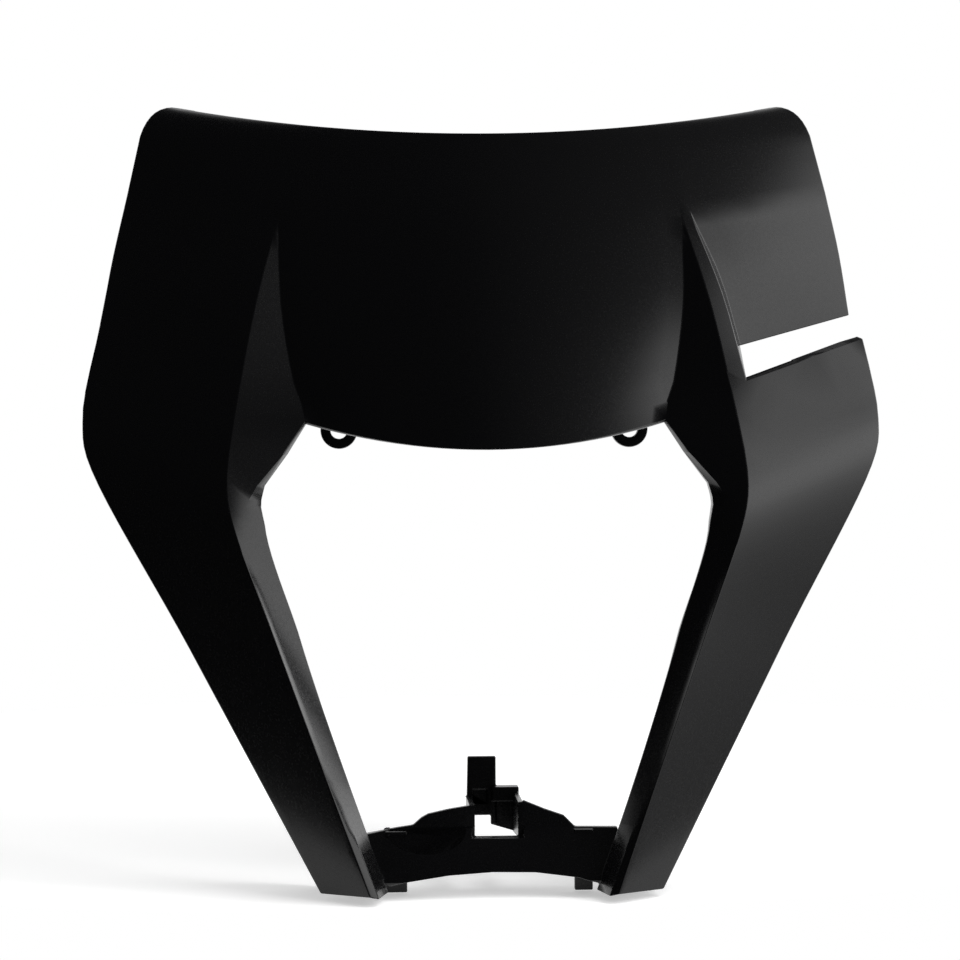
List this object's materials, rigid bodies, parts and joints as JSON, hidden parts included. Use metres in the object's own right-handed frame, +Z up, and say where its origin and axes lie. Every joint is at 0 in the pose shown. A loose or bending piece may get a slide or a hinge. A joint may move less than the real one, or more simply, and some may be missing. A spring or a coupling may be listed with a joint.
{
  "type": "headlight cowl",
  "caption": "Off-road motorcycle headlight cowl in black plastic: number-plate visor over an open lamp window, side panels with a hose slot, tapered arms and a lower bridge.",
  "frame": {"origin": "midway between the two eyelets that hang behind the visor's lower edge", "axes": "-Y is the way the lamp shines, +X is the rider's left (the side with the hose slot), +Z is up"},
  "size_m": [0.2718, 0.1181, 0.2698],
  "materials": {
    "shell": "gloss moulded black"
  },
  "bodies": {
    "root": {"cowl": "shell"}
  },
  "joints": []
}
